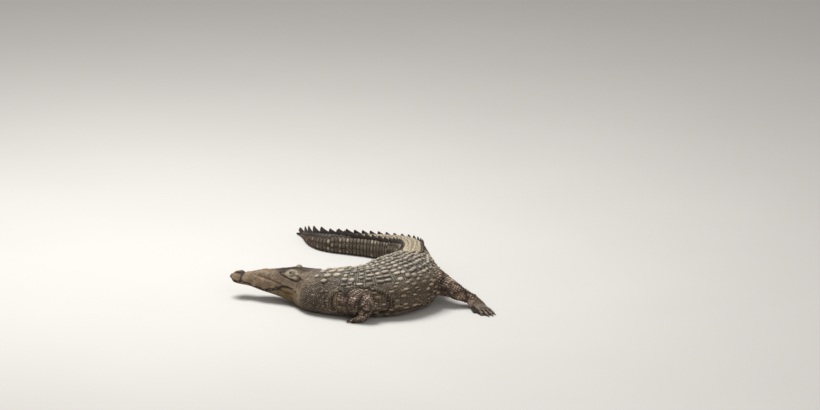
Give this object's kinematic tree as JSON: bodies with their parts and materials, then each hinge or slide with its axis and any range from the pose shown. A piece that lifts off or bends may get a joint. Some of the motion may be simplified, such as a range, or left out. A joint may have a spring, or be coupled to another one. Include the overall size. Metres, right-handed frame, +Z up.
{
  "type": "resting crocodile model",
  "caption": "Life-size still model of a stout crocodile lying on its belly, body bent round so that the crested tail runs back behind the head.",
  "frame": {"origin": "middle of the animal's outline seen from above, at the floor it lies on", "axes": "+X to the right of an onlooker facing the animal's left side (the snout points to -X), +Y away from that onlooker, +Z up"},
  "size_m": [1.2846, 1.5358, 0.2399],
  "materials": {
    "head": "dry, matt scaled hide",
    "lower_jaw": "dry, matt scaled hide",
    "eye_left": "wet, glossy",
    "eye_right": "wet, glossy",
    "neck": "dry, matt scaled hide",
    "trunk": "dry, matt scaled hide",
    "tail_1": "dry, matt scaled hide",
    "tail_2": "dry, matt scaled hide",
    "tail_3": "dry, matt scaled hide",
    "tail_4": "dry, matt scaled hide",
    "fore_left_upper": "dry, matt scaled hide",
    "fore_left_lower": "dry, matt scaled hide",
    "fore_left_foot": "dry, matt scaled hide",
    "fore_left_claw_1": "dull horn",
    "fore_left_claw_2": "dull horn",
    "fore_left_claw_3": "dull horn",
    "fore_right_upper": "dry, matt scaled hide",
    "fore_right_lower": "dry, matt scaled hide",
    "fore_right_foot": "dry, matt scaled hide",
    "fore_right_claw_1": "dull horn",
    "fore_right_claw_2": "dull horn",
    "fore_right_claw_3": "dull horn",
    "hind_left_upper": "dry, matt scaled hide",
    "hind_left_lower": "dry, matt scaled hide",
    "hind_left_foot": "dry, matt scaled hide",
    "hind_left_claw_1": "dull horn",
    "hind_left_claw_2": "dull horn",
    "hind_left_claw_3": "dull horn",
    "hind_right_upper": "dry, matt scaled hide",
    "hind_right_lower": "dry, matt scaled hide",
    "hind_right_foot": "dry, matt scaled hide",
    "hind_right_claw_1": "dull horn",
    "hind_right_claw_2": "dull horn",
    "hind_right_claw_3": "dull horn"
  },
  "bodies": {
    "root": {"head": "head", "lower_jaw": "lower_jaw", "eye_left": "eye_left", "eye_right": "eye_right", "neck": "neck", "trunk": "trunk", "tail_1": "tail_1", "tail_2": "tail_2", "tail_3": "tail_3", "tail_4": "tail_4", "fore_left_upper": "fore_left_upper", "fore_left_lower": "fore_left_lower", "fore_left_foot": "fore_left_foot", "fore_left_claw_1": "fore_left_claw_1", "fore_left_claw_2": "fore_left_claw_2", "fore_left_claw_3": "fore_left_claw_3", "fore_right_upper": "fore_right_upper", "fore_right_lower": "fore_right_lower", "fore_right_foot": "fore_right_foot", "fore_right_claw_1": "fore_right_claw_1", "fore_right_claw_2": "fore_right_claw_2", "fore_right_claw_3": "fore_right_claw_3", "hind_left_upper": "hind_left_upper", "hind_left_lower": "hind_left_lower", "hind_left_foot": "hind_left_foot", "hind_left_claw_1": "hind_left_claw_1", "hind_left_claw_2": "hind_left_claw_2", "hind_left_claw_3": "hind_left_claw_3", "hind_right_upper": "hind_right_upper", "hind_right_lower": "hind_right_lower", "hind_right_foot": "hind_right_foot", "hind_right_claw_1": "hind_right_claw_1", "hind_right_claw_2": "hind_right_claw_2", "hind_right_claw_3": "hind_right_claw_3"}
  },
  "joints": []
}
